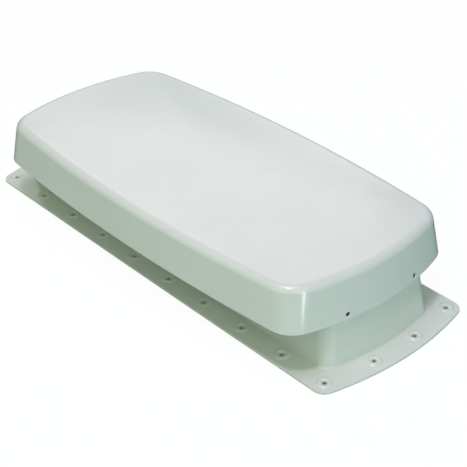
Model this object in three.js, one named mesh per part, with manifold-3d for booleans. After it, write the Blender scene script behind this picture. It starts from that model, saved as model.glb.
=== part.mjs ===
// Refrigerator roof vent for a caravan or motorhome: a moulded base, whose flange screws to the roof and
// whose hollow stack stands over the cut-out, and a moulded cap that keeps rain out and lets warm air leave
// along both long sides. A wire screen on a ledge inside the stack keeps birds and leaves out.
// Millimetres. +X is along the vent, +Z is up, and the origin is on the roof under the vent's centre.
import * as THREE from "three";
import { mergeGeometries, mergeVertices } from "three/addons/utils/BufferGeometryUtils.js";
import Module from "manifold-3d";

const wasm = await Module();
wasm.setup();

// ---- Driving dimensions ----

const STRAIGHT = 60000; // radius of an edge that is straight in practice
const GAP = 0.3; // between neighbouring pieces
const OVERRUN = 5; // how far a cutting tool runs past the face it cuts

// Flange, with its roof screw holes
const FLANGE = {
  halfLength: 375.5,
  halfWidth: 134,
  endRadius: 472,
  sideRadius: STRAIGHT,
  cornerRadius: 18,
};
const FLANGE_THICKNESS = 3.5;
const HOLE_PITCH = 76.2;
const HOLES_ALONG = 10;
const HOLES_ACROSS = 4;
const HOLE_RADIUS = 3.2;
const END_HOLE_STEP = 12; // the inner end holes stand this much further out than the corner ones
const PAD = { footRadius: 11.4, topRadius: 8.8, height: 1.5 }; // the raised round pad round each roof hole

// Stack: its plan at the roof and how much its walls lean in for each millimetre of height
const STACK_FOOT = {
  halfLength: 341,
  halfWidth: 98.5,
  endRadius: 377,
  sideRadius: STRAIGHT,
  cornerRadius: 22,
};
const END_LEAN = 0.158;
const SIDE_LEAN = 0.12;
const WALL = 3;
const END_WALL_TOP = 118;
const SIDE_WALL_TOP = 94;
const SIDE_GAP_BOTTOM = 285; // half-length of the air gap over the side walls, at its foot and at its top
const SIDE_GAP_TOP = 296;
const LIP = { halfLength: 282, reach: 6, thickness: 3 };

// Ledge that carries the screen, and the ribs that hold the long walls apart
const LEDGE_TOP = 83;
const LEDGE_THICKNESS = 3;
const THROAT = { halfLength: 296, halfWidth: 68 };
const RIB_PLACES = [-100, 100];
const RIB_THICKNESS = 3;
const RIB_DEPTH = 20;

// Cap: its plan at the rim and at the shoulder, where the walls would meet the top without the rounding
const CAP_RIM = {
  halfLength: 334.7,
  halfWidth: 160.6,
  endRadius: 377,
  sideRadius: 2957,
  cornerRadius: 40,
};
const CAP_SHOULDER = {
  halfLength: 324.1,
  halfWidth: 155.7,
  endRadius: 389,
  sideRadius: 2243,
  cornerRadius: 45,
};
const RIM_Z = 66;
const SHOULDER_Z = 127.7;
const SHOULDER_RADIUS = 11;
const CAP_WALL = 3;
const CROWN = 6; // rise of the top from the shoulder to the middle
const CROWN_RINGS = [0.75, 0.4]; // sizes of the top's rings of facets, as shares of its edge

// Screws that hold the cap to the stack's ends: flat heads, sunk a little below the wall
const CAP_SCREW_PLACE = { y: 61.2, z: 73.6 };
const CAP_SCREW = { headRadius: 2.9, headDepth: 1.7, shankRadius: 1.5, length: 19, sunk: 0.4 };
const BOSS_RADIUS = 6;
const BOSS_LENGTH = 17;

// Screen, the strips that clamp its edge and the strips' screws
const SCREEN = { halfLength: 308, halfWidth: 81, thickness: 1.2, pitch: 31.75, opening: 28 };
const STRIP_WIDTH = 12;
const STRIP_THICKNESS = 1.5;
const STRIP_JOINT = 0.5;
const STRIP_SETBACK = 1; // from the throat's long edges to the long strips
const STRIP_SCREW = { headRadius: 3.4, headHeight: 2.1, shankRadius: 1.7, length: 9.5 };
const PAN_HEAD = { edgeShare: 0.5, topShare: 0.65 }; // of the head's height and of its radius
const SCREW_TIP = { radiusShare: 0.85, lengthShare: 3 }; // both as shares of the shank's radius
const LONG_STRIP_SCREWS = [-240, -120, 0, 120, 240];
const SHORT_STRIP_SCREWS = [-50, 50];
const RECESS = { length: 3.4, width: 1, depth: 1.1 }; // the cross in each screw's head

// Facets
const EDGE_STEPS = 5; // steps in a quarter of an outline, along each of its three arcs
const ROUND_STEPS = 4; // steps round the cap's shoulder
const HOLE_SIDES = 12;
const SCREW_SIDES = 8;

// ---- Materials ----

const plastic = (color) => new THREE.MeshStandardMaterial({ color, roughness: 0.35, metalness: 0 });
const metal = (color, roughness) => new THREE.MeshStandardMaterial({ color, roughness, metalness: 1 });
const capPlastic = plastic(0xe3e5e0);
const basePlastic = plastic(0xd9e0d6);
const wireSteel = metal(0xb4b8ba, 0.45);
const stripAluminium = metal(0xc9cbcc, 0.4);
const screwSteel = metal(0xc2c4c6, 0.3);
const blackScrew = metal(0x24272a, 0.5);

// ---- Solids ----

function toSolid(geometry) {
  const bare = geometry.clone();
  bare.deleteAttribute("normal");
  bare.deleteAttribute("uv");
  const merged = mergeVertices(bare, 1e-4);
  const triVerts = new Uint32Array(merged.index.array);
  const vertProperties = new Float32Array(merged.attributes.position.array);
  return new wasm.Manifold(new wasm.Mesh({ numProp: 3, vertProperties, triVerts }));
}

function toGeometry(solid) {
  const { numProp, vertProperties, triVerts } = solid.getMesh();
  const positions = new Float32Array((vertProperties.length / numProp) * 3);
  for (let i = 0; i < positions.length / 3; i++) {
    positions.set(vertProperties.subarray(i * numProp, i * numProp + 3), i * 3);
  }
  const geometry = new THREE.BufferGeometry();
  geometry.setAttribute("position", new THREE.BufferAttribute(positions, 3));
  geometry.setIndex(new THREE.BufferAttribute(new Uint32Array(triVerts), 1));
  return geometry;
}

function box(low, high) {
  const size = new THREE.Vector3().subVectors(high, low);
  const middle = new THREE.Vector3().addVectors(low, high).multiplyScalar(0.5);
  return toSolid(new THREE.BoxGeometry(size.x, size.y, size.z).translate(middle.x, middle.y, middle.z));
}

// A solid of revolution about +Z. The points of its profile are [radius, height], from the lower pole up.
function turned(profile, sides) {
  const points = profile.map(([radius, height]) => new THREE.Vector2(radius, height));
  return new THREE.LatheGeometry(points, sides).rotateX(Math.PI / 2);
}

// The profile of a plain rod between two heights.
const rod = (radius, from, to) => [
  [0, from],
  [radius, from],
  [radius, to],
  [0, to],
];

// Upright drills through z 0 at each [x, y] place.
function drills(radius, places) {
  const drill = new THREE.CylinderGeometry(radius, radius, 4 * OVERRUN, HOLE_SIDES).rotateX(Math.PI / 2);
  return toSolid(mergeGeometries(places.map(([x, y]) => drill.clone().translate(x, y, 0))));
}

// ---- Plan outlines ----

const insetPlan = (plan, depth) => ({
  halfLength: plan.halfLength - depth,
  halfWidth: plan.halfWidth - depth,
  endRadius: plan.endRadius - depth,
  sideRadius: plan.sideRadius - depth,
  cornerRadius: plan.cornerRadius - depth,
});

function blendPlans(from, to, share) {
  const mixed = {};
  for (const key of Object.keys(from)) mixed[key] = THREE.MathUtils.lerp(from[key], to[key], share);
  return mixed;
}

// A rectangle with bulged ends and sides and round corners, counter-clockwise from the middle of the +X end.
// Each corner arc touches its end arc and its side arc, so its centre is a known distance from their centres.
function outline(plan) {
  const endCentre = new THREE.Vector2(plan.halfLength - plan.endRadius, 0);
  const sideCentre = new THREE.Vector2(0, plan.halfWidth - plan.sideRadius);
  const fromEnd = plan.endRadius - plan.cornerRadius;
  const fromSide = plan.sideRadius - plan.cornerRadius;
  const span = endCentre.distanceTo(sideCentre);
  const along = (fromSide ** 2 - fromEnd ** 2 + span ** 2) / (2 * span);
  const across = Math.sqrt(fromSide ** 2 - along ** 2);
  const way = endCentre.clone().sub(sideCentre).divideScalar(span);
  const corner = sideCentre.clone().addScaledVector(way, along);
  corner.add(new THREE.Vector2(way.y * across, -way.x * across));
  const endAngle = corner.clone().sub(endCentre).angle();
  const sideAngle = corner.clone().sub(sideCentre).angle();

  const arc = (centre, radius, from, to) =>
    new THREE.ArcCurve(centre.x, centre.y, radius, from, to, false).getPoints(EDGE_STEPS);
  const quarter = [
    ...arc(endCentre, plan.endRadius, 0, endAngle),
    ...arc(corner, plan.cornerRadius, endAngle, sideAngle).slice(1),
    ...arc(sideCentre, plan.sideRadius, sideAngle, Math.PI / 2).slice(1),
  ];
  const mirrored = (x, y) => quarter.map((p) => new THREE.Vector2(p.x * x, p.y * y));
  return [
    ...quarter,
    ...mirrored(-1, 1).reverse().slice(1),
    ...mirrored(-1, -1).slice(1),
    ...mirrored(1, -1).reverse().slice(1, -1),
  ];
}

const ring = (plan, z) => outline(plan).map((p) => new THREE.Vector3(p.x, p.y, z));

// A closed solid through rings of equally many points, from the lowest ring to the highest.
// Its top rises to a point at topZ over the last ring's middle, or is flat where topZ is that ring's height.
function loft(rings, topZ = rings.at(-1)[0].z) {
  const count = rings[0].length;
  const positions = rings.flat().flatMap((p) => [p.x, p.y, p.z]);
  positions.push(0, 0, rings[0][0].z, 0, 0, topZ);
  const bottom = rings.length * count;
  const top = bottom + 1;
  const faces = [];
  for (let i = 0; i < count; i++) {
    const next = (i + 1) % count;
    faces.push(bottom, next, i);
    for (let level = 0; level < rings.length - 1; level++) {
      const lower = level * count;
      const upper = lower + count;
      faces.push(lower + i, lower + next, upper + next, lower + i, upper + next, upper + i);
    }
    const last = bottom - count;
    faces.push(top, last + i, last + next);
  }
  const geometry = new THREE.BufferGeometry();
  geometry.setAttribute("position", new THREE.Float32BufferAttribute(positions, 3));
  geometry.setIndex(faces);
  return toSolid(geometry);
}

// ---- Cap ----

function capPlanAt(z) {
  return blendPlans(CAP_RIM, CAP_SHOULDER, (z - RIM_Z) / (SHOULDER_Z - RIM_Z));
}

// The solid inside the cap's surface moved in by depth, from startZ up.
function capSkin(depth, startZ) {
  const roundZ = SHOULDER_Z - SHOULDER_RADIUS;
  const radius = SHOULDER_RADIUS - depth;
  const rings = [ring(insetPlan(capPlanAt(RIM_Z), depth), startZ)];
  for (let step = 0; step <= ROUND_STEPS; step++) {
    const angle = (step / ROUND_STEPS) * (Math.PI / 2);
    const plan = insetPlan(capPlanAt(roundZ), depth + radius * (1 - Math.cos(angle)));
    rings.push(ring(plan, roundZ + radius * Math.sin(angle)));
  }
  const edge = rings.at(-1);
  for (const scale of CROWN_RINGS) {
    const rise = CROWN * (1 - scale ** 2);
    rings.push(edge.map((p) => new THREE.Vector3(p.x * scale, p.y * scale, p.z + rise)));
  }
  return loft(rings, edge[0].z + CROWN);
}

// Where a cap screw enters the end wall, as a frame with +Z along the screw and out of the wall.
function capScrewFrame(endSign, sideSign) {
  const { y, z } = CAP_SCREW_PLACE;
  const plan = capPlanAt(z);
  const turn = Math.asin(y / plan.endRadius);
  const x = plan.halfLength - plan.endRadius * (1 - Math.cos(turn));
  const outward = new THREE.Vector3(endSign * Math.cos(turn), sideSign * Math.sin(turn), 0);
  return {
    place: new THREE.Vector3(endSign * x, sideSign * y, z),
    turn: new THREE.Quaternion().setFromUnitVectors(new THREE.Vector3(0, 0, 1), outward),
  };
}

const capScrewSpots = [1, -1].flatMap((end) =>
  [1, -1].map((side) => ({ end, side, frame: capScrewFrame(end, side) })),
);

// A turned tool set at a cap screw's place.
function atCapScrew(frame, profile, sides) {
  const matrix = new THREE.Matrix4().compose(frame.place, frame.turn, new THREE.Vector3(1, 1, 1));
  return toSolid(turned(profile, sides).applyMatrix4(matrix));
}

function makeCap() {
  let cap = capSkin(0, RIM_Z).subtract(capSkin(CAP_WALL, RIM_Z - OVERRUN));
  const { headRadius, headDepth, shankRadius, sunk } = CAP_SCREW;
  const slope = (headRadius - shankRadius) / headDepth;
  const clear = shankRadius + GAP;
  const mouth = headRadius + GAP + slope * sunk;
  for (const { frame } of capScrewSpots) {
    const tool = [
      [0, -CAP_WALL - OVERRUN],
      [clear, -CAP_WALL - OVERRUN],
      [clear, (clear - mouth) / slope],
      [mouth, 0],
      [mouth + slope, 1],
      [0, 1],
    ];
    cap = cap.subtract(atCapScrew(frame, tool, HOLE_SIDES));
  }
  return cap;
}

// ---- Base ----

const stackPlanAt = (z) => ({
  ...STACK_FOOT,
  halfLength: STACK_FOOT.halfLength - END_LEAN * z,
  halfWidth: STACK_FOOT.halfWidth - SIDE_LEAN * z,
});

const stackLoft = (depth, low, high) =>
  loft([ring(insetPlan(stackPlanAt(low), depth), low), ring(insetPlan(stackPlanAt(high), depth), high)]);

function roofHolePlaces() {
  const cornerX = (HOLE_PITCH * (HOLES_ALONG - 1)) / 2;
  const cornerY = (HOLE_PITCH * (HOLES_ACROSS - 1)) / 2;
  const places = [];
  for (const sign of [1, -1]) {
    for (let i = 0; i < HOLES_ALONG; i++) places.push([i * HOLE_PITCH - cornerX, sign * cornerY]);
    const endX = sign * (cornerX + END_HOLE_STEP);
    for (let i = 1; i < HOLES_ACROSS - 1; i++) places.push([endX, i * HOLE_PITCH - cornerY]);
  }
  return places;
}

function makeFlange() {
  const padProfile = [
    [0, FLANGE_THICKNESS / 2],
    [PAD.footRadius, FLANGE_THICKNESS / 2],
    [PAD.footRadius, FLANGE_THICKNESS],
    [PAD.topRadius, FLANGE_THICKNESS + PAD.height],
    [0, FLANGE_THICKNESS + PAD.height],
  ];
  const pad = turned(padProfile, HOLE_SIDES);
  const places = roofHolePlaces();
  const pads = toSolid(mergeGeometries(places.map(([x, y]) => pad.clone().translate(x, y, 0))));
  const slab = loft([ring(FLANGE, 0), ring(FLANGE, FLANGE_THICKNESS)]);
  return slab.add(pads).subtract(drills(HOLE_RADIUS, places));
}

// Cuts the side walls down to their height and leaves the ends standing.
function sideGapTool() {
  const shape = new THREE.Shape();
  shape.moveTo(-SIDE_GAP_BOTTOM, SIDE_WALL_TOP);
  shape.lineTo(SIDE_GAP_BOTTOM, SIDE_WALL_TOP);
  shape.lineTo(SIDE_GAP_TOP, END_WALL_TOP + OVERRUN);
  shape.lineTo(-SIDE_GAP_TOP, END_WALL_TOP + OVERRUN);
  const depth = 4 * STACK_FOOT.halfWidth;
  const tool = new THREE.ExtrudeGeometry(shape, { depth, bevelEnabled: false });
  return toSolid(tool.rotateX(Math.PI / 2).translate(0, depth / 2, 0));
}

function makeLedge() {
  const slab = stackLoft(WALL / 2, LEDGE_TOP - LEDGE_THICKNESS, LEDGE_TOP);
  const { halfLength, halfWidth } = THROAT;
  const low = new THREE.Vector3(-halfLength, -halfWidth, 0);
  const high = new THREE.Vector3(halfLength, halfWidth, LEDGE_TOP + OVERRUN);
  return slab.subtract(box(low, high));
}

// A rib from one long wall to the other, under the screen.
function makeRib(x) {
  const low = new THREE.Vector3(x - RIB_THICKNESS / 2, -STACK_FOOT.halfWidth, LEDGE_TOP - RIB_DEPTH);
  const high = new THREE.Vector3(x + RIB_THICKNESS / 2, STACK_FOOT.halfWidth, LEDGE_TOP);
  return box(low, high).intersect(stackLoft(WALL / 2, low.z, high.z));
}

// A boss for a cap screw, through the end wall and out to the cap's inner face.
function makeBoss(frame) {
  const boss = atCapScrew(frame, rod(BOSS_RADIUS, -BOSS_LENGTH, 0), HOLE_SIDES);
  return boss.intersect(capSkin(CAP_WALL + GAP, RIM_Z - OVERRUN));
}

// The turned-out lip along a side wall's top, which stops driven rain from climbing the wall.
function rainLip(sign) {
  const wallY = stackPlanAt(SIDE_WALL_TOP).halfWidth;
  const [inner, outer] = [wallY - WALL / 2, wallY + LIP.reach].map((y) => y * sign);
  return box(
    new THREE.Vector3(-LIP.halfLength, Math.min(inner, outer), SIDE_WALL_TOP - LIP.thickness),
    new THREE.Vector3(LIP.halfLength, Math.max(inner, outer), SIDE_WALL_TOP),
  );
}

function makeBase() {
  const outside = stackLoft(0, 0, END_WALL_TOP);
  const inside = stackLoft(WALL, -OVERRUN, END_WALL_TOP + OVERRUN);
  let base = makeFlange().add(outside).subtract(inside).add(makeLedge());
  for (const x of RIB_PLACES) base = base.add(makeRib(x));
  base = base.subtract(sideGapTool()).add(rainLip(1)).add(rainLip(-1));

  const pilot = rod(CAP_SCREW.shankRadius + GAP, -BOSS_LENGTH - OVERRUN, OVERRUN);
  for (const { frame } of capScrewSpots) {
    base = base.add(makeBoss(frame)).subtract(atCapScrew(frame, pilot, HOLE_SIDES));
  }
  const ledgeDrills = drills(STRIP_SCREW.shankRadius + GAP, stripScrewPlaces());
  return base.subtract(ledgeDrills.translate([0, 0, LEDGE_TOP]));
}

// ---- Screen and its clamping strips ----

// Each strip's middle, half-lengths along X and Y, and screw places measured from its middle.
function stripLayout() {
  const half = STRIP_WIDTH / 2;
  const longY = THROAT.halfWidth + STRIP_SETBACK + half;
  const shortX = THROAT.halfLength + half;
  const longScrews = LONG_STRIP_SCREWS.map((x) => [x, 0]);
  const shortScrews = SHORT_STRIP_SCREWS.map((y) => [0, y]);
  const long = { halfX: THROAT.halfLength - STRIP_JOINT, halfY: half, screws: longScrews };
  const short = { halfX: half, halfY: longY + half, screws: shortScrews };
  return [
    { name: "front", x: 0, y: -longY, ...long },
    { name: "rear", x: 0, y: longY, ...long },
    { name: "left", x: -shortX, y: 0, ...short },
    { name: "right", x: shortX, y: 0, ...short },
  ];
}

function stripScrewPlaces() {
  return stripLayout().flatMap((strip) => strip.screws.map(([dx, dy]) => [strip.x + dx, strip.y + dy]));
}

// A flat sheet from z 0 up, drilled for strip screws at the given places.
function drilledSheet(halfX, halfY, thickness, places) {
  const sheet = box(new THREE.Vector3(-halfX, -halfY, 0), new THREE.Vector3(halfX, halfY, thickness));
  return sheet.subtract(drills(STRIP_SCREW.shankRadius + GAP, places));
}

// The screen as a sheet with square openings, each of which stands for five by five openings of the mesh.
function makeScreen() {
  const { halfLength, halfWidth, thickness, pitch, opening } = SCREEN;
  const columns = Math.floor((2 * THROAT.halfLength) / pitch);
  const rows = Math.floor((2 * THROAT.halfWidth) / pitch);
  const openings = [];
  for (let column = 0; column < columns; column++) {
    for (let row = 0; row < rows; row++) {
      const x = (column - (columns - 1) / 2) * pitch;
      const y = (row - (rows - 1) / 2) * pitch;
      openings.push(new THREE.BoxGeometry(opening, opening, 4 * thickness).translate(x, y, 0));
    }
  }
  const sheet = drilledSheet(halfLength, halfWidth, thickness, stripScrewPlaces());
  return sheet.subtract(toSolid(mergeGeometries(openings)));
}

// ---- Screws, each with its head's seat at the origin and +Z out of the head ----

function cutRecess(screw, topZ) {
  const { length, width, depth } = RECESS;
  const arm = (x, y) =>
    box(new THREE.Vector3(-x / 2, -y / 2, topZ - depth), new THREE.Vector3(x / 2, y / 2, topZ + depth));
  return screw.subtract(arm(length, width)).subtract(arm(width, length));
}

function makeFlatScrew() {
  const { headRadius, headDepth, shankRadius, length, sunk } = CAP_SCREW;
  const profile = [
    [0, -sunk - length],
    [shankRadius * SCREW_TIP.radiusShare, -sunk - length + shankRadius * SCREW_TIP.lengthShare],
    [shankRadius, -sunk - headDepth],
    [headRadius, -sunk],
    [0, -sunk],
  ];
  return cutRecess(toSolid(turned(profile, SCREW_SIDES)), -sunk);
}

function makePanScrew() {
  const { headRadius, headHeight, shankRadius, length } = STRIP_SCREW;
  const profile = [
    [0, -length],
    [shankRadius * SCREW_TIP.radiusShare, -length + shankRadius * SCREW_TIP.lengthShare],
    [shankRadius, 0],
    [headRadius, 0],
    [headRadius, headHeight * PAN_HEAD.edgeShare],
    [headRadius * PAN_HEAD.topShare, headHeight],
    [0, headHeight],
  ];
  return cutRecess(toSolid(turned(profile, SCREW_SIDES)), headHeight);
}

// ---- Assembly ----

const vent = new THREE.Group();

function addPiece(name, geometry, material) {
  const mesh = new THREE.Mesh(geometry, material);
  mesh.name = name;
  vent.add(mesh);
  return mesh;
}

addPiece("base", toGeometry(makeBase()), basePlastic);
addPiece("cap", toGeometry(makeCap()), capPlastic);

const screenZ = LEDGE_TOP + GAP;
const stripZ = screenZ + SCREEN.thickness + GAP;
const stripScrewZ = stripZ + STRIP_THICKNESS + GAP;
addPiece("bird_screen", toGeometry(makeScreen()), wireSteel).position.z = screenZ;

for (const strip of stripLayout()) {
  const sheet = drilledSheet(strip.halfX, strip.halfY, STRIP_THICKNESS, strip.screws);
  const piece = addPiece(`screen_strip_${strip.name}`, toGeometry(sheet), stripAluminium);
  piece.position.set(strip.x, strip.y, stripZ);
}

const panScrew = toGeometry(makePanScrew());
stripScrewPlaces().forEach(([x, y], i) => {
  const number = String(i + 1).padStart(2, "0");
  addPiece(`screen_screw_${number}`, panScrew, screwSteel).position.set(x, y, stripScrewZ);
});

const flatScrew = toGeometry(makeFlatScrew());
for (const { end, side, frame } of capScrewSpots) {
  const name = `cap_screw_${end > 0 ? "right" : "left"}_${side > 0 ? "rear" : "front"}`;
  const screw = addPiece(name, flatScrew, blackScrew);
  screw.position.copy(frame.place);
  screw.quaternion.copy(frame.turn);
}

export default vent;
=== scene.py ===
"""The visual model of a refrigerator roof vent, with its woven screen, clamping strips and screws.

Lengths are in millimetres in the CAD's own frame, and turn into metres when a mesh is made.
"""

import cmath
import math
from collections import namedtuple

import bmesh
import bpy
from mathutils import Matrix, Vector


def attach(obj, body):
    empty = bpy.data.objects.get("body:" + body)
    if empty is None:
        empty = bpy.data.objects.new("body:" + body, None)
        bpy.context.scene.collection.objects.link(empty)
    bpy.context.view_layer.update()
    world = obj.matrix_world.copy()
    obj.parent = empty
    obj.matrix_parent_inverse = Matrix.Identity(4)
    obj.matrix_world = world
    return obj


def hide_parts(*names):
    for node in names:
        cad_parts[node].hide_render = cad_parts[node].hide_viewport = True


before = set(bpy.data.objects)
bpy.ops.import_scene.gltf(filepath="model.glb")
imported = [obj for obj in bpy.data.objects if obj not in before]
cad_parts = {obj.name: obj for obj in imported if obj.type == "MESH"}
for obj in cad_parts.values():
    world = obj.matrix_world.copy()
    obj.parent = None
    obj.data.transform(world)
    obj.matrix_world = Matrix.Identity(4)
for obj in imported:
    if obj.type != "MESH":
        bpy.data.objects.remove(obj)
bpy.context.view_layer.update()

MM = 0.001
STRAIGHT = 60000  # radius of an edge that is straight in practice
GAP = 0.3  # between neighbouring pieces

Plan = namedtuple("Plan", "half_length half_width end_radius side_radius corner_radius")

# ---- Driving dimensions, as in the CAD ----

FLANGE = Plan(375.5, 134, 472, STRAIGHT, 18)
FLANGE_THICKNESS = 3.5
HOLE_PITCH = 76.2
HOLES_ALONG = 10
HOLES_ACROSS = 4
HOLE_RADIUS = 3.2
END_HOLE_STEP = 12  # the inner end holes stand this much further out than the corner ones
PAD_RADIUS = 11.4

STACK_FOOT = Plan(341, 98.5, 377, STRAIGHT, 22)
END_LEAN = 0.158  # how much the end walls lean in for each millimetre of height
SIDE_LEAN = 0.12
WALL = 3
END_WALL_TOP = 118
SIDE_WALL_TOP = 94
SIDE_GAP_BOTTOM = 285  # half-length of the air gap over the side walls, at its foot and at its top
SIDE_GAP_TOP = 296
LIP_HALF_LENGTH = 282
LIP_REACH = 6
LIP_THICKNESS = 3

LEDGE_TOP = 83
LEDGE_THICKNESS = 3
THROAT = Plan(296, 68, STRAIGHT, STRAIGHT, 3)  # its corners are sharp in the CAD
RIB_PLACES = (-100, 100)
RIB_THICKNESS = 3
RIB_DEPTH = 20

CAP_RIM = Plan(334.7, 160.6, 377, 2957, 40)
CAP_SHOULDER = Plan(324.1, 155.7, 389, 2243, 45)  # where walls and top would meet without the rounding
RIM_Z = 66
SHOULDER_Z = 127.7
SHOULDER_RADIUS = 11
CAP_WALL = 3
CROWN = 6  # rise of the top from the shoulder to the middle

CAP_SCREW_Y = 61.2
CAP_SCREW_Z = 73.6
CAP_SCREW_LENGTH = 19
FLAT_HEAD_RADIUS = 2.9
FLAT_HEAD_DEPTH = 1.7
FLAT_HEAD_SUNK = 0.4
FLAT_SHANK_RADIUS = 1.5
BOSS_RADIUS = 6
BOSS_LENGTH = 17

SCREEN_HALF_LENGTH = 308
SCREEN_HALF_WIDTH = 81
STRIP_WIDTH = 12
STRIP_THICKNESS = 1.5
STRIP_JOINT = 0.5  # gap between a long strip's end and the short strip beyond it
STRIP_SETBACK = 1  # from the throat's long edges to the long strips
STRIP_SCREW_LENGTH = 9.5
PAN_HEAD_RADIUS = 3.4
PAN_HEAD_HEIGHT = 2.1
PAN_SHANK_RADIUS = 1.7
POINT_SHARE = 3  # length of a screw's point, in shank radii
RECESS_DEPTH = 1.1  # of the cross in each screw's head
LONG_STRIP_SCREWS = (-240, -120, 0, 120, 240)
SHORT_STRIP_SCREWS = (-50, 50)

# ---- Details finer than the CAD's ----

FLANGE_CLEAR = 0.01  # keeps the flange's outermost points inside the CAD's box
FLANGE_EDGE = 0.7  # rounding of the base's lower edges and of the flange's upper one
FOOT_FILLET = 2
TOP_EDGE = 1  # rounding of the stack's top
SIDE_GAP_FILLET = 6
LIP_EDGE = 0.7
LEDGE_EDGE = 0.5  # chamfer of the throat
RIB_EDGE = 1
CAP_EDGE = 1.2  # rounding of the rim
CROWN_POWER = 1.5  # above 1, the top starts to rise gently from its edge
SINK_FLARE = 0.3  # broken edge round a countersink

WIRE_PITCH = 6.35
WIRE_RADIUS = 0.3
STRIP_EDGE = 0.35

FLAT_THREAD_PITCH = 1.4
PAN_THREAD_PITCH = 1.3
RINGS_PER_THREAD = 8
CORE_SHARE = 0.74  # of a screw's shank radius, inside its thread
RIDGE_SHARE = 0.28  # of the pitch, for half of a thread's ridge
POINT_POWER = 0.7  # below 1, the point is blunt
NECK_SHARE = 0.9  # of the shank radius, right under the head
RECESS_REACH = 1.65  # half the length of each arm of the cross

# Steps round a rounded edge
EDGE_STEPS = 3
RIM_STEPS = 4
FILLET_STEPS = 5
GAP_FILLET_STEPS = 6
HEAD_STEPS = 8

# Rings up the stack's walls, and up the cap's wall, shoulder and crown
WALL_STEPS = 5
CAP_WALL_STEPS = 6
SHOULDER_STEPS = 12
CROWN_STEPS = 16

# Sides of what is round
PAD_SIDES = 48
BOSS_SIDES = 48
SINK_SIDES = 40
HOLE_SIDES = 36
SCREW_SIDES = 32
WIRE_SIDES = 8

OVERRUN = 5  # how far a cutting tool runs past what it cuts
SIDE_GAP_OVERRUN = 8  # the same for the tool that cuts the gaps over the side walls
DRILL_REACH = 8  # of a drill, up and down from its place
SHARP_ANGLE = 30  # degrees, past which an edge is shaded as sharp

SCREEN_Z = LEDGE_TOP + GAP
STRIP_Z = SCREEN_Z + 4 * WIRE_RADIUS + GAP
STRIP_SCREW_Z = STRIP_Z + STRIP_THICKNESS + GAP

# Columns in a quarter of an outline, along its end, corner and side arcs
COLUMNS = (28, 20, 50)


# ---- Outlines, in double precision as complex numbers ----


def inset(plan, depth):
    return Plan(*(size - depth for size in plan))


def blend(low, high, share):
    return Plan(*(a + (b - a) * share for a, b in zip(low, high)))


def outline(plan):
    """Points and outward normals of a rectangle with bulged sides and round corners, counter-clockwise."""
    end_centre = complex(plan.half_length - plan.end_radius, 0)
    side_centre = complex(0, plan.half_width - plan.side_radius)
    from_end = plan.end_radius - plan.corner_radius
    from_side = plan.side_radius - plan.corner_radius
    span = abs(end_centre - side_centre)
    way = (end_centre - side_centre) / span
    along = (from_side**2 - from_end**2 + span**2) / (2 * span)
    across = math.sqrt(from_side**2 - along**2)
    corner = side_centre + way * complex(along, -across)
    end_angle = cmath.phase(corner - end_centre)
    side_angle = cmath.phase(corner - side_centre)
    arcs = (
        (end_centre, plan.end_radius, 0, end_angle),
        (corner, plan.corner_radius, end_angle, side_angle),
        (side_centre, plan.side_radius, side_angle, math.pi / 2),
    )
    quarter = [(complex(plan.half_length, 0), complex(1, 0))]
    for (centre, radius, start, stop), steps in zip(arcs, COLUMNS):
        for step in range(1, steps + 1):
            normal = cmath.exp(1j * (start + (stop - start) * step / steps))
            quarter.append((centre + radius * normal, normal))

    def mirrored(x, y):
        return [tuple(complex(v.real * x, v.imag * y) for v in pair) for pair in quarter]

    return quarter + mirrored(-1, 1)[-2::-1] + mirrored(-1, -1)[1:] + mirrored(1, -1)[-2:0:-1]


def ring(plan, z):
    return [(point.real, point.imag, z) for point, _ in outline(plan)]


# ---- Meshes ----


def new_piece(name, mesh):
    piece = bpy.data.objects.new(name, mesh)
    bpy.context.scene.collection.objects.link(piece)
    return piece


def finished(name, builder):
    """The builder's faces as a new piece."""
    mesh = bpy.data.meshes.new(name)
    builder.to_mesh(mesh)
    builder.free()
    return new_piece(name, mesh)


def skin(name, rings, loop=False):
    """A closed body through rings of points.

    A ring of one point is a pole, and loop joins the last ring to the first.
    """
    builder = bmesh.new()
    rows = [[builder.verts.new(Vector(point) * MM) for point in points] for points in rings]
    pairs = list(zip(rows, rows[1:]))
    if loop:
        pairs.append((rows[-1], rows[0]))
    for lower, upper in pairs:
        for i in range(max(len(lower), len(upper))):
            following = i + 1
            corners = [lower[i % len(lower)], lower[following % len(lower)]]
            corners += [upper[following % len(upper)], upper[i % len(upper)]]
            builder.faces.new(dict.fromkeys(corners))
    for row in (rows[0], rows[-1]):
        if not loop and len(row) > 1:
            builder.faces.new(row)
    bmesh.ops.recalc_face_normals(builder, faces=builder.faces)
    return finished(name, builder)


def circle(radius, z, sides):
    angles = [2 * math.pi * side / sides for side in range(sides)]
    return [(radius * math.cos(angle), radius * math.sin(angle), z) for angle in angles]


def turned(name, profile, sides):
    """A solid of revolution about +Z through (radius, height) points, from the lower pole to the upper."""
    rings = []
    for radius, height in profile:
        rings.append(circle(radius, height, sides) if radius else [(0, 0, height)])
    return skin(name, rings)


def rounded_bar(name, low, high, radius):
    """A bar from low to high with rounded edges."""
    builder = bmesh.new()
    bmesh.ops.create_cube(builder, size=1)
    size = [b - a for a, b in zip(low, high)]
    for vertex in builder.verts:
        vertex.co = Vector([(a + s * (c + 0.5)) * MM for a, s, c in zip(low, size, vertex.co)])
    bmesh.ops.bevel(
        builder,
        geom=builder.edges[:],
        offset=radius * MM,
        segments=EDGE_STEPS,
        profile=0.5,
        affect="EDGES",
    )
    return finished(name, builder)


def quarter_turn(steps):
    return [math.pi / 2 * step / steps for step in range(steps + 1)]


def rounding(radius, steps):
    """Points round an edge, as distances from its two faces, from (radius, 0) to (0, radius)."""
    return [(radius * (1 - math.sin(a)), radius * (1 - math.cos(a))) for a in quarter_turn(steps)]


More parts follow.
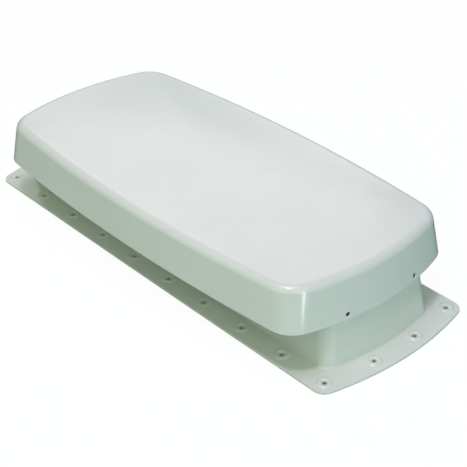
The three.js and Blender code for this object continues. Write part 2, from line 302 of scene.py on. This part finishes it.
def combine(piece, tools, operation):
    """Joins the tools to the piece, cuts them out of it, or keeps what they share, and uses them up."""
    for tool in tools:
        modifier = piece.modifiers.new("combine", "BOOLEAN")
        modifier.object = tool
        modifier.operation = operation
        modifier.solver = "MANIFOLD"
    evaluated = piece.evaluated_get(bpy.context.evaluated_depsgraph_get())
    mesh = bpy.data.meshes.new_from_object(evaluated)
    piece.modifiers.clear()
    piece.data = mesh
    for tool in tools:
        bpy.data.objects.remove(tool)
    return piece


def copies_at(name, maker, matrices):
    """One object that holds a copy of the maker's body at each matrix."""
    pattern = maker()
    builder = bmesh.new()
    for matrix in matrices:
        mesh = pattern.data.copy()
        mesh.transform(matrix)
        builder.from_mesh(mesh)
        bpy.data.meshes.remove(mesh)
    bpy.data.objects.remove(pattern)
    return finished(name, builder)


def join(name, pieces):
    builder = bmesh.new()
    for piece in pieces:
        builder.from_mesh(piece.data)
        bpy.data.objects.remove(piece)
    return finished(name, builder)


def at(x, y, z):
    return Matrix.Translation(Vector((x, y, z)) * MM)


def weigh_normals(piece, weight):
    """Shading normals that lean towards the larger faces, more so at a higher weight."""
    weighted = piece.modifiers.new("weighted_normals", "WEIGHTED_NORMAL")
    weighted.keep_sharp = True
    weighted.weight = weight


def shade(piece):
    """Smooth shading between the edges that are sharp."""
    piece.data.shade_smooth()
    piece.data.set_sharp_from_angle(angle=math.radians(SHARP_ANGLE))


def smooth(piece):
    """Smooth shading with flat faces kept flat."""
    shade(piece)
    weigh_normals(piece, 100)


# ---- Cap ----


def cap_plan_at(z):
    return blend(CAP_RIM, CAP_SHOULDER, (z - RIM_Z) / (SHOULDER_Z - RIM_Z))


ROUND_Z = SHOULDER_Z - SHOULDER_RADIUS


def cap_round_ring(depth, share):
    """A ring of the rounding between the wall and the top, from share 0 at the wall to 1 at the top."""
    radius = SHOULDER_RADIUS - depth
    at_rim = outline(CAP_RIM)
    at_shoulder = outline(CAP_SHOULDER)
    points = []
    for (start, normal), (low, _), (high, _) in zip(outline(cap_plan_at(ROUND_Z)), at_rim, at_shoulder):
        leaned = ((low - high) * normal.conjugate()).real
        lean = math.atan(leaned / (SHOULDER_Z - RIM_Z))
        angle = lean + (math.pi / 2 - lean) * share
        wall_move = radius * math.sin(lean) * math.tan(lean)
        moved = start - normal * (depth + wall_move + radius * (math.cos(lean) - math.cos(angle)))
        points.append((moved.real, moved.imag, ROUND_Z + radius * math.sin(angle)))
    return points


def cap_rings(depth, low):
    """Rings of the cap's surface moved in by depth, from the height low up to the pole over the middle."""
    rings = []
    for step in range(CAP_WALL_STEPS):
        z = low + (ROUND_Z - low) * step / CAP_WALL_STEPS
        rings.append(ring(inset(cap_plan_at(z), depth), z))
    for step in range(SHOULDER_STEPS + 1):
        rings.append(cap_round_ring(depth, step / SHOULDER_STEPS))
    edge = rings[-1]
    for angle in quarter_turn(CROWN_STEPS)[1:-1]:
        scale = math.cos(angle)
        rise = CROWN * (1 - scale**2) ** CROWN_POWER
        rings.append([(x * scale, y * scale, z + rise) for x, y, z in edge])
    rings.append([(0, 0, edge[0][2] + CROWN)])
    return rings


def cap_screw_matrix(end_sign, side_sign):
    """Where a cap screw enters the end wall, with +Z along the screw and out of the wall."""
    plan = cap_plan_at(CAP_SCREW_Z)
    turn = math.asin(CAP_SCREW_Y / plan.end_radius)
    x = plan.half_length - plan.end_radius * (1 - math.cos(turn))
    outward = Vector((end_sign * math.cos(turn), side_sign * math.sin(turn), 0))
    facing = Vector((0, 0, 1)).rotation_difference(outward).to_matrix().to_4x4()
    return at(end_sign * x, side_sign * CAP_SCREW_Y, CAP_SCREW_Z) @ facing


CAP_SCREW_SPOTS = {
    f"cap_screw_{end}_{side}": cap_screw_matrix(end_sign, side_sign)
    for end, end_sign in (("right", 1), ("left", -1))
    for side, side_sign in (("rear", 1), ("front", -1))
}


def countersink():
    """Cuts a cap screw's hole, the cone for its head and a broken edge round the mouth."""
    slope = (FLAT_HEAD_RADIUS - FLAT_SHANK_RADIUS) / FLAT_HEAD_DEPTH
    clear = FLAT_SHANK_RADIUS + GAP
    mouth = FLAT_HEAD_RADIUS + GAP + slope * FLAT_HEAD_SUNK
    reach = 1  # past the wall's face, which leans and so isn't square to the screw
    profile = [
        (0, -2 * CAP_WALL),
        (clear, -2 * CAP_WALL),
        (clear, (clear - mouth) / slope),
        (mouth, 0),
        (mouth + SINK_FLARE, SINK_FLARE / 2),
        (mouth + reach, reach),
        (0, reach),
    ]
    return turned("countersink", profile, SINK_SIDES)


def make_cap():
    plan = cap_plan_at(RIM_Z)
    edge_top = RIM_Z + CAP_EDGE
    rings = cap_rings(CAP_WALL, edge_top)[::-1]
    for up, depth in rounding(CAP_EDGE, RIM_STEPS)[1:]:
        rings.append(ring(inset(plan, CAP_WALL - depth), RIM_Z + up))
    for depth, up in rounding(CAP_EDGE, RIM_STEPS)[:-1]:
        rings.append(ring(inset(plan, depth), RIM_Z + up))
    cap = skin("roof_vent_cap", rings + cap_rings(0, edge_top))
    return combine(cap, [copies_at("sinks", countersink, CAP_SCREW_SPOTS.values())], "DIFFERENCE")


# ---- Base ----


def stack_plan_at(z):
    return STACK_FOOT._replace(
        half_length=STACK_FOOT.half_length - END_LEAN * z,
        half_width=STACK_FOOT.half_width - SIDE_LEAN * z,
    )


def stack_ring(depth, z):
    return ring(inset(stack_plan_at(z), depth), z)


def flange_ring(depth, z):
    return ring(inset(FLANGE, FLANGE_CLEAR + depth), z)


def base_shell():
    """The flange and the stack's full-height walls as one closed body, starting at the flange's edge."""
    wall_low = FLANGE_THICKNESS + FOOT_FILLET
    wall_high = END_WALL_TOP - TOP_EDGE
    rings = [flange_ring(depth, up) for depth, up in rounding(FLANGE_EDGE, EDGE_STEPS)]
    for down, depth in rounding(FLANGE_EDGE, EDGE_STEPS):
        rings.append(flange_ring(depth, FLANGE_THICKNESS - down))
    for out, up in rounding(FOOT_FILLET, FILLET_STEPS):
        rings.append(stack_ring(-out, FLANGE_THICKNESS + up))
    for step in range(1, WALL_STEPS):
        rings.append(stack_ring(0, wall_low + (wall_high - wall_low) * step / WALL_STEPS))
    for down, depth in rounding(TOP_EDGE, EDGE_STEPS):
        rings.append(stack_ring(depth, END_WALL_TOP - down))
    for back, down in rounding(TOP_EDGE, EDGE_STEPS):
        rings.append(stack_ring(WALL - back, END_WALL_TOP - down))
    for step in range(1, WALL_STEPS):
        rings.append(stack_ring(WALL, wall_high * (1 - step / WALL_STEPS)))
    for up, back in rounding(FLANGE_EDGE, EDGE_STEPS):
        rings.append(stack_ring(WALL - back, up))
    return skin("roof_vent_base", rings, loop=True)


def roof_hole_places():
    corner_x = HOLE_PITCH * (HOLES_ALONG - 1) / 2
    corner_y = HOLE_PITCH * (HOLES_ACROSS - 1) / 2
    places = []
    for sign in (1, -1):
        places += [(i * HOLE_PITCH - corner_x, sign * corner_y) for i in range(HOLES_ALONG)]
        end_x = sign * (corner_x + END_HOLE_STEP)
        places += [(end_x, i * HOLE_PITCH - corner_y) for i in range(1, HOLES_ACROSS - 1)]
    return places


def hole_pad():
    """The low raised ring round a roof hole, dished towards the hole."""
    # Distance in from the ring's outer foot, and height above the flange
    inward_and_up = [
        (0, 0),
        (0.5, 0.12),
        (1.3, 0.6),
        (2.3, 1.2),
        (3.1, 1.47),
        (3.8, 1.5),
        (4.8, 1.3),
        (6.0, 0.85),
        (7.1, 0.4),
        (8.0, 0.1),
        (PAD_RADIUS, 0.1),
    ]
    profile = [(0, FLANGE_THICKNESS / 2), (PAD_RADIUS, FLANGE_THICKNESS / 2)]
    profile += [(PAD_RADIUS - inward, FLANGE_THICKNESS + up) for inward, up in inward_and_up]
    return turned("pad", profile, PAD_SIDES)


def drill(radius):
    """Makes a drill of that radius each time it is called."""
    profile = [(0, -DRILL_REACH), (radius, -DRILL_REACH), (radius, DRILL_REACH), (0, DRILL_REACH)]
    return lambda: turned("drill", profile, HOLE_SIDES)


def side_gap_tool():
    """Cuts the side walls down to their height and leaves the ends standing."""
    rise = END_WALL_TOP - SIDE_WALL_TOP + SIDE_GAP_OVERRUN
    slope = (SIDE_GAP_TOP - SIDE_GAP_BOTTOM) / (END_WALL_TOP - SIDE_WALL_TOP)
    profile = []
    for back, up in rounding(SIDE_GAP_FILLET, GAP_FILLET_STEPS):
        profile.append((SIDE_GAP_BOTTOM - back, SIDE_WALL_TOP + up))
    profile.append((SIDE_GAP_BOTTOM + slope * rise, SIDE_WALL_TOP + rise))
    profile += [(-x, z) for x, z in profile[::-1]]
    reach = 2 * STACK_FOOT.half_width
    return skin("side_gap", [[(x, y, z) for x, z in profile] for y in (-reach, reach)])


def ledge():
    """The ledge round the throat, with its inner edges chamfered."""
    low = LEDGE_TOP - LEDGE_THICKNESS
    widened = inset(THROAT, -LEDGE_EDGE)
    rings = [
        stack_ring(WALL / 2, low),
        stack_ring(WALL / 2, LEDGE_TOP),
        ring(widened, LEDGE_TOP),
        ring(THROAT, LEDGE_TOP - LEDGE_EDGE),
        ring(THROAT, low + LEDGE_EDGE),
        ring(widened, low),
    ]
    return skin("ledge", rings, loop=True)


def rib(x):
    """A rib from one long wall to the other under the screen, with rounded lower edges."""
    low = LEDGE_TOP - RIB_DEPTH
    half = RIB_THICKNESS / 2
    section = [(half, LEDGE_TOP)]
    section += [(half - depth, low + up) for up, depth in rounding(RIB_EDGE, EDGE_STEPS)]
    section += [(-across, z) for across, z in section[::-1]]
    ends = []
    for sign in (-1, 1):
        walls = [sign * (stack_plan_at(z).half_width - WALL / 2) for _, z in section]
        ends.append([(x + across, y, z) for (across, z), y in zip(section, walls)])
    return skin("rib", ends)


def rain_lip(sign):
    """The lip that stands out from the top of a side wall."""
    wall_y = stack_plan_at(SIDE_WALL_TOP).half_width
    near_y, far_y = sorted((sign * (wall_y - WALL / 2), sign * (wall_y + LIP_REACH)))
    low = (-LIP_HALF_LENGTH, near_y, SIDE_WALL_TOP - LIP_THICKNESS)
    return rounded_bar("lip", low, (LIP_HALF_LENGTH, far_y, SIDE_WALL_TOP), LIP_EDGE)


def boss():
    profile = [(0, -BOSS_LENGTH), (BOSS_RADIUS, -BOSS_LENGTH), (BOSS_RADIUS, 0), (0, 0)]
    return turned("boss", profile, BOSS_SIDES)


def boss_pilot():
    radius = FLAT_SHANK_RADIUS + GAP
    low = -BOSS_LENGTH - OVERRUN
    return turned("pilot", [(0, low), (radius, low), (radius, OVERRUN), (0, OVERRUN)], HOLE_SIDES)


def make_base():
    base = base_shell()
    bosses = copies_at("bosses", boss, CAP_SCREW_SPOTS.values())
    combine(bosses, [skin("cap_inside", cap_rings(CAP_WALL + GAP, RIM_Z - OVERRUN))], "INTERSECT")
    roof_holes = [at(x, y, 0) for x, y in roof_hole_places()]
    ledge_holes = [at(x, y, LEDGE_TOP) for x, y in strip_screw_places()]
    combine(base, [copies_at("pads", hole_pad, roof_holes), ledge(), *map(rib, RIB_PLACES)], "UNION")
    combine(base, [side_gap_tool()], "DIFFERENCE")
    combine(base, [rain_lip(1), rain_lip(-1), bosses], "UNION")
    cuts = [
        copies_at("roof_holes", drill(HOLE_RADIUS), roof_holes),
        copies_at("ledge_holes", drill(PAN_SHANK_RADIUS + GAP), ledge_holes),
        copies_at("boss_holes", boss_pilot, CAP_SCREW_SPOTS.values()),
    ]
    return combine(base, cuts, "DIFFERENCE")


# ---- Screen and strips ----

Strip = namedtuple("Strip", "name x y half_x half_y screws")


def strip_layout():
    half = STRIP_WIDTH / 2
    long_y = THROAT.half_width + STRIP_SETBACK + half
    short_x = THROAT.half_length + half
    long_half = THROAT.half_length - STRIP_JOINT
    long_screws = [(x, 0) for x in LONG_STRIP_SCREWS]
    short_screws = [(0, y) for y in SHORT_STRIP_SCREWS]
    return [
        Strip("front", 0, -long_y, long_half, half, long_screws),
        Strip("rear", 0, long_y, long_half, half, long_screws),
        Strip("left", -short_x, 0, half, long_y + half, short_screws),
        Strip("right", short_x, 0, half, long_y + half, short_screws),
    ]


def strip_screw_places():
    return [(strip.x + dx, strip.y + dy) for strip in strip_layout() for dx, dy in strip.screws]


def wires(along, half_length, half_width, phase):
    """Wires side by side that each weave over and under the crossing ones, as rows of rings."""
    rings_per_crossing = 4
    spacing = WIRE_PITCH / rings_per_crossing
    count = int(half_width // WIRE_PITCH)
    reach = int(half_length // spacing)
    found = []
    for number in range(-count, count + 1):
        offset = number * WIRE_PITCH
        sign = -1 if (number + phase) % 2 else 1
        rings = []
        for step in range(-reach, reach + 1):
            distance = step * spacing
            lift = sign * WIRE_RADIUS * math.cos(math.pi * distance / WIRE_PITCH)
            middle = SCREEN_Z + 2 * WIRE_RADIUS + lift
            points = []
            for across, up, _ in circle(WIRE_RADIUS, 0, WIRE_SIDES):
                spot = (distance, offset + across) if along == "x" else (offset + across, distance)
                points.append((*spot, middle + up))
            rings.append(points)
        found.append(rings)
    return found


def make_screen():
    rows = wires("x", SCREEN_HALF_LENGTH, SCREEN_HALF_WIDTH, 0)
    rows += wires("y", SCREEN_HALF_WIDTH, SCREEN_HALF_LENGTH, 1)
    screen = join("bird_screen_mesh", [skin("wire", rings) for rings in rows])
    holes = [at(x, y, SCREEN_Z) for x, y in strip_screw_places()]
    return combine(screen, [copies_at("screen_holes", drill(PAN_SHANK_RADIUS + GAP), holes)], "DIFFERENCE")


def make_strip(strip):
    low = (strip.x - strip.half_x, strip.y - strip.half_y, STRIP_Z)
    high = (strip.x + strip.half_x, strip.y + strip.half_y, STRIP_Z + STRIP_THICKNESS)
    piece = rounded_bar(f"strip_{strip.name}", low, high, STRIP_EDGE)
    holes = [at(strip.x + dx, strip.y + dy, STRIP_Z) for dx, dy in strip.screws]
    return combine(piece, [copies_at("strip_holes", drill(PAN_SHANK_RADIUS + GAP), holes)], "DIFFERENCE")


# ---- Screws, each with its head's seat at the origin and +Z out of the head ----


def threaded_shank(shank_radius, length, head_z, pitch):
    """Rings of a pointed shank with a rolled thread, from the tip up to the head."""
    tip = -length
    core_radius = CORE_SHARE * shank_radius
    point_length = POINT_SHARE * shank_radius
    rings = [[(0, 0, tip)]]
    steps = int((head_z - tip) / (pitch / RINGS_PER_THREAD))
    for step in range(1, steps):
        z = tip + (head_z - tip) * step / steps
        core = core_radius * min(1, (z - tip) / point_length) ** POINT_POWER
        fade = min(1, (z - tip) / pitch, (head_z - z) / pitch)  # at both ends of the thread
        points = []
        for side in range(SCREW_SIDES):
            turn = side / SCREW_SIDES
            phase = (z / pitch - turn) % 1
            ridge = max(0, 1 - abs(phase - 0.5) / RIDGE_SHARE)
            radius = core + (shank_radius - core_radius) * ridge * fade
            angle = 2 * math.pi * turn
            points.append((radius * math.cos(angle), radius * math.sin(angle), z))
        rings.append(points)
    return rings


def cross_recess(top_z):
    """The cutting tool of a tapered cross drive."""
    # Height, and half the length and half the width of each arm, from the foot up
    levels = (
        (top_z - RECESS_DEPTH, 0.7, 0.3),
        (top_z + 0.05, RECESS_REACH, 0.45),
        (top_z + 1, RECESS_REACH, 0.45),
    )
    rings = []
    for z, reach, half in levels:
        points = []
        for quarter in range(4):
            for corner in (complex(reach, -half), complex(reach, half), complex(half, half)):
                placed = corner * 1j**quarter
                points.append((placed.real, placed.imag, z))
        rings.append(points)
    return skin("cross", rings)


def screw(name, rings, head, top):
    """A screw from the rings of its shank, the (radius, z) points of its head and its flat top's height."""
    rings = rings + [circle(radius, z, SCREW_SIDES) for radius, z in head] + [[(0, 0, top)]]
    return combine(skin(name, rings), [cross_recess(top)], "DIFFERENCE")


def make_flat_screw():
    top = -FLAT_HEAD_SUNK
    seat = top - FLAT_HEAD_DEPTH
    rings = threaded_shank(FLAT_SHANK_RADIUS, FLAT_HEAD_SUNK + CAP_SCREW_LENGTH, seat, FLAT_THREAD_PITCH)
    head = [
        (FLAT_SHANK_RADIUS * NECK_SHARE, seat),
        (FLAT_HEAD_RADIUS - 0.1, top - 0.25),
        (FLAT_HEAD_RADIUS, top - 0.12),
        (FLAT_HEAD_RADIUS - 0.12, top),
    ]
    return screw("flat_screw", rings, head, top)


def make_pan_screw():
    """A pan head is a short cylinder under a low dome that ends in a small flat."""
    edge_top = 0.9
    flat_share = 0.45  # of the head's radius
    rings = threaded_shank(PAN_SHANK_RADIUS, STRIP_SCREW_LENGTH, 0, PAN_THREAD_PITCH)
    head = [
        (PAN_SHANK_RADIUS * NECK_SHARE, 0),
        (PAN_HEAD_RADIUS - 0.15, 0),
        (PAN_HEAD_RADIUS, 0.15),
    ]
    for angle in quarter_turn(HEAD_STEPS)[:-1]:
        radius = PAN_HEAD_RADIUS * (flat_share + (1 - flat_share) * math.cos(angle))
        head.append((radius, edge_top + (PAN_HEAD_HEIGHT - edge_top) * math.sin(angle)))
    return screw("pan_screw", rings, head, PAN_HEAD_HEIGHT)


# ---- Materials ----


NOISE_RANGE = (0.3, 0.7)  # the middle of a noise's values, which holds nearly all of them
GRAIN_DEPTH = 0.00005  # metres
ALONG_X = (0.03, 1, 1)  # stretches of a grain drawn out along X or Y
ALONG_Y = (1, 0.03, 1)
EVEN = (1, 1, 1)


class Nodes:
    """Builds one material's node tree, in metres of the object's own space."""

    def __init__(self, name):
        self.material = bpy.data.materials.new(name)
        self.material.use_nodes = True
        self.tree = self.material.node_tree
        self.shader = self.tree.nodes["Principled BSDF"]
        self.place = self.add("ShaderNodeTexCoord").outputs["Object"]

    def add(self, kind):
        return self.tree.nodes.new(kind)

    def link(self, source, target):
        self.tree.links.new(source, target)

    def noise(self, scale, detail, stretch=EVEN):
        mapping = self.add("ShaderNodeMapping")
        mapping.inputs["Scale"].default_value = stretch
        noise = self.add("ShaderNodeTexNoise")
        noise.inputs["Scale"].default_value = scale
        noise.inputs["Detail"].default_value = detail
        self.link(self.place, mapping.inputs["Vector"])
        self.link(mapping.outputs["Vector"], noise.inputs["Vector"])
        return noise.outputs["Fac"]

    def spangle(self, scale):
        """Zinc crystals, each with a value of its own."""
        cells = self.add("ShaderNodeTexVoronoi")
        cells.inputs["Scale"].default_value = scale
        self.link(self.place, cells.inputs["Vector"])
        return cells.outputs["Color"]

    def spread(self, source, low, high):
        """The source's middle range spread from low to high."""
        ranged = self.add("ShaderNodeMapRange")
        ranged.inputs["From Min"].default_value = NOISE_RANGE[0]
        ranged.inputs["From Max"].default_value = NOISE_RANGE[1]
        ranged.inputs["To Min"].default_value = low
        ranged.inputs["To Max"].default_value = high
        self.link(source, ranged.inputs["Value"])
        return ranged.outputs["Result"]

    def tones(self, source, *colours):
        """The source's middle range as a blend from the first colour to the second."""
        ramp = self.add("ShaderNodeValToRGB")
        for stop, position, colour in zip(ramp.color_ramp.elements, NOISE_RANGE, colours):
            stop.position = position
            stop.color = (*colour, 1)
        self.link(source, ramp.inputs["Fac"])
        return ramp.outputs["Color"]

    def bump(self, height, strength):
        bump = self.add("ShaderNodeBump")
        bump.inputs["Strength"].default_value = strength
        bump.inputs["Distance"].default_value = GRAIN_DEPTH
        self.link(height, bump.inputs["Height"])
        return bump.outputs["Normal"]


def moulded_plastic(name, dull, clean):
    """Plastic with faint broad tones, uneven gloss and a very fine texture."""
    nodes = Nodes(name)
    shader = nodes.shader
    shader.inputs["IOR"].default_value = 1.49
    nodes.link(nodes.tones(nodes.noise(9, 4), dull, clean), shader.inputs["Base Color"])
    nodes.link(nodes.spread(nodes.noise(40, 5), 0.17, 0.22), shader.inputs["Roughness"])
    nodes.link(nodes.bump(nodes.noise(1400, 3), 0.08), shader.inputs["Normal"])
    return nodes.material


def metal(name, dark, light, roughness, grain=EVEN, spangled=False):
    """Metal whose gloss and surface follow a grain, and whose tones follow it too or are spangled."""
    nodes = Nodes(name)
    shader = nodes.shader
    shader.inputs["Metallic"].default_value = 1.0
    tone = nodes.spangle(350) if spangled else nodes.noise(60, 4, grain)
    nodes.link(nodes.tones(tone, dark, light), shader.inputs["Base Color"])
    grained = nodes.noise(600, 4, grain)
    nodes.link(nodes.spread(grained, roughness - 0.08, roughness + 0.08), shader.inputs["Roughness"])
    nodes.link(nodes.bump(grained, 0.3), shader.inputs["Normal"])
    return nodes.material


def mill_aluminium(name, grain):
    return metal(name, (0.72, 0.73, 0.74), (0.86, 0.86, 0.87), 0.34, grain)


CAP_PLASTIC = moulded_plastic("cap_plastic_look", (0.745, 0.765, 0.735), (0.775, 0.79, 0.765))
BASE_PLASTIC = moulded_plastic("base_plastic_look", (0.725, 0.755, 0.705), (0.755, 0.78, 0.735))
WIRE = metal("galvanised_wire", (0.42, 0.44, 0.45), (0.66, 0.68, 0.68), 0.42, spangled=True)
ALUMINIUM_X = mill_aluminium("aluminium_along_x", ALONG_X)
ALUMINIUM_Y = mill_aluminium("aluminium_along_y", ALONG_Y)
STAINLESS = metal("stainless", (0.55, 0.55, 0.54), (0.68, 0.68, 0.67), 0.28)
BLACK_ZINC = metal("black_zinc", (0.11, 0.115, 0.12), (0.2, 0.205, 0.215), 0.5)


# ---- Assembly ----


def place(piece, node, material):
    piece.data.materials.clear()
    piece.data.materials.append(material)
    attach(piece, "root")
    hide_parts(node)


def place_screws(pattern, spots, material):
    """A copy of the pattern screw at each named spot, all sharing one mesh."""
    shade(pattern)
    for node, matrix in spots.items():
        screw_piece = new_piece(f"{node}_piece", pattern.data)
        weigh_normals(screw_piece, 50)
        screw_piece.matrix_world = matrix
        place(screw_piece, node, material)
    bpy.data.objects.remove(pattern)


cap = make_cap()
smooth(cap)
place(cap, "cap", CAP_PLASTIC)

base = make_base()
smooth(base)
place(base, "base", BASE_PLASTIC)

screen = make_screen()
smooth(screen)
place(screen, "bird_screen", WIRE)

for strip in strip_layout():
    piece = make_strip(strip)
    smooth(piece)
    grain = ALUMINIUM_X if strip.half_x > strip.half_y else ALUMINIUM_Y
    place(piece, f"screen_strip_{strip.name}", grain)

strip_screw_spots = {
    f"screen_screw_{number:02d}": at(x, y, STRIP_SCREW_Z)
    for number, (x, y) in enumerate(strip_screw_places(), 1)
}
place_screws(make_pan_screw(), strip_screw_spots, STAINLESS)
place_screws(make_flat_screw(), CAP_SCREW_SPOTS, BLACK_ZINC)


# ---- Floor, light and camera, in metres but for the floor ----

FLOOR_REACH = 6000
FLOOR_DROP = 0.2  # below the flange's underside
SHADE_INSET = 6  # of the sheet painted near black as shade, in from the flange's edge
PAPER_GLOW = 0.92  # share of the floor that the camera sees as plain white
PAPER_WHITE = 1.03  # strength of that white

# Soft glows of the world: azimuth and elevation in degrees, and colour
SKY_GLOWS = (
    (-5, 10, (0.49, 0.77, 0.81)),
    (-110, 45, (0.34, 0.42, 0.18)),
    (-45, 45, (0.84, 0.88, 0.74)),
    (135, 25, (0.24, 0.40, 0.40)),
)
GLOW_SHARPNESS = 4

CAMERA_PLACE = (1.13715, -0.94675, 0.96667)
CAMERA_AZIMUTH = 49.05  # degrees, as are the next two
CAMERA_TILT = 57.07
CAMERA_ROLL = -1.113
CAMERA_LENS = 93.216  # millimetres, as is the sensor's width
SENSOR_WIDTH = 36


def paper(name, dull, clean):
    """Matt paper."""
    nodes = Nodes(name)
    nodes.shader.inputs["Roughness"].default_value = 0.9
    nodes.shader.inputs["Specular IOR Level"].default_value = 0.0
    nodes.link(nodes.tones(nodes.noise(30, 4), dull, clean), nodes.shader.inputs["Base Color"])
    return nodes


def bright_paper(name, dull, clean):
    """Paper that bounces light as it is, but of which the camera sees most as plain white."""
    nodes = paper(name, dull, clean)
    bounce = nodes.shader.outputs["BSDF"]
    white = nodes.add("ShaderNodeEmission")
    white.inputs["Color"].default_value = (1, 1, 1, 1)
    white.inputs["Strength"].default_value = PAPER_WHITE
    seen = nodes.add("ShaderNodeMixShader")
    seen.inputs["Fac"].default_value = PAPER_GLOW
    path = nodes.add("ShaderNodeLightPath")
    mixed = nodes.add("ShaderNodeMixShader")
    nodes.link(bounce, seen.inputs[1])
    nodes.link(white.outputs["Emission"], seen.inputs[2])
    nodes.link(path.outputs["Is Camera Ray"], mixed.inputs["Fac"])
    nodes.link(bounce, mixed.inputs[1])
    nodes.link(seen.outputs["Shader"], mixed.inputs[2])
    nodes.link(mixed.outputs["Shader"], nodes.tree.nodes["Material Output"].inputs["Surface"])
    return nodes


def make_floor():
    """White paper to the camera, but for a sheet under the vent that is painted near black as the vent's
    own shade.
    """
    corners = [(-1, -1), (1, -1), (1, 1), (-1, 1)]
    points = [(x * FLOOR_REACH, y * FLOOR_REACH, -FLOOR_DROP) for x, y in corners]
    points += ring(inset(FLANGE, SHADE_INSET), -FLOOR_DROP / 2)
    mesh = bpy.data.meshes.new("floor")
    mesh.from_pydata([Vector(point) * MM for point in points], [], [range(4), range(4, len(points))])
    mesh.materials.append(bright_paper("floor_paper", (0.68, 0.84, 0.78), (0.70, 0.86, 0.80)).material)
    # Near-black paper under the vent: painted shade, seen through the vent's holes
    mesh.materials.append(paper("painted_shade_paper", (0.07, 0.08, 0.06), (0.09, 0.10, 0.08)).material)
    mesh.polygons[1].material_index = 1
    floor = new_piece("floor", mesh)
    floor.visible_glossy = False


def towards(azimuth, elevation):
    turn = Matrix.Rotation(math.radians(azimuth), 3, "Z")
    lift = Matrix.Rotation(math.radians(-elevation), 3, "Y")
    return turn @ lift @ Vector((1, 0, 0))


def make_world():
    """Lights the scene with the soft glows, and shows the camera plain white."""
    world = bpy.data.worlds.new("studio")
    bpy.context.scene.world = world
    world.use_nodes = True
    tree = world.node_tree
    tree.nodes.clear()

    def add(kind, operation=None):
        node = tree.nodes.new(kind)
        if operation:
            node.operation = operation
        return node

    direction = add("ShaderNodeTexCoord").outputs["Generated"]
    light = add("ShaderNodeBackground")
    colour = light.inputs["Color"]
    for azimuth, elevation, tint in SKY_GLOWS:
        facing = add("ShaderNodeVectorMath", "DOT_PRODUCT")
        facing.inputs[1].default_value = towards(azimuth, elevation)
        in_front = add("ShaderNodeMath", "MAXIMUM")
        in_front.inputs[1].default_value = 0
        falloff = add("ShaderNodeMath", "POWER")
        falloff.inputs[1].default_value = GLOW_SHARPNESS
        glow = add("ShaderNodeVectorMath", "MULTIPLY_ADD")
        glow.inputs[0].default_value = tint
        tree.links.new(direction, facing.inputs[0])
        tree.links.new(facing.outputs["Value"], in_front.inputs[0])
        tree.links.new(in_front.outputs["Value"], falloff.inputs[0])
        tree.links.new(falloff.outputs["Value"], glow.inputs[1])
        tree.links.new(glow.outputs["Vector"], colour)
        colour = glow.inputs[2]  # where the next glow is added
    plain = add("ShaderNodeBackground")
    plain.inputs["Color"].default_value = (1, 1, 1, 1)
    path = add("ShaderNodeLightPath")
    mixed = add("ShaderNodeMixShader")
    output = add("ShaderNodeOutputWorld")
    tree.links.new(path.outputs["Is Camera Ray"], mixed.inputs["Fac"])
    tree.links.new(light.outputs["Background"], mixed.inputs[1])
    tree.links.new(plain.outputs["Background"], mixed.inputs[2])
    tree.links.new(mixed.outputs["Shader"], output.inputs["Surface"])


def area_light(name, location, target, power, size, colour=(1, 1, 1), height=None):
    """A round light of the size, or where it has a height, a rectangle of that width and height."""
    lamp = bpy.data.lights.new(name, "AREA")
    lamp.energy = power
    lamp.color = colour
    lamp.shape = "DISK" if height is None else "RECTANGLE"
    lamp.size = size
    if height is not None:
        lamp.size_y = height
    light = bpy.data.objects.new(name, lamp)
    bpy.context.scene.collection.objects.link(light)
    light.location = location
    light.rotation_mode = "QUATERNION"
    light.rotation_quaternion = (Vector(location) - Vector(target)).to_track_quat("Z", "Y")
    return light


def make_lights():
    area_light("key", (0.36, -0.60, 2.0), (0.3, -0.12, 0), power=7.5, size=0.3)
    area_light(
        "overhead",
        (0.1, -0.2, 2.2),
        (0.1, -0.1, 0),
        power=15.0,
        size=1.2,
        colour=(0.80, 0.63, 1.0),
    )
    area_light(
        "back_panel",
        (-1.67, 1.39, 1.54),
        (0, 0, 0.13),
        power=7.5,
        size=1.4,
        colour=(1.0, 0.93, 0.86),
        height=1.0,
    )
    # An upright strip close to the near corner, seen only as the bright line that it draws down the gloss
    strip_light = area_light(
        "corner_strip",
        (0.58, -0.174, 0.146),
        (0.305, -0.118, 0.146),
        power=0.4,
        size=0.032,
        height=0.288,
    )
    strip_light.visible_diffuse = False
    strip_light.visible_camera = False


def make_camera():
    data = bpy.data.cameras.new("camera")
    data.lens = CAMERA_LENS
    data.sensor_width = SENSOR_WIDTH
    camera = bpy.data.objects.new("camera", data)
    bpy.context.scene.collection.objects.link(camera)
    turn = Matrix.Rotation(math.radians(CAMERA_AZIMUTH), 4, "Z")
    tilt = Matrix.Rotation(math.radians(CAMERA_TILT), 4, "X")
    roll = Matrix.Rotation(math.radians(CAMERA_ROLL), 4, "Z")
    camera.matrix_world = Matrix.Translation(CAMERA_PLACE) @ turn @ tilt @ roll
    bpy.context.scene.camera = camera


make_floor()
make_world()
make_lights()
make_camera()
bpy.context.scene.view_settings.view_transform = "Standard"
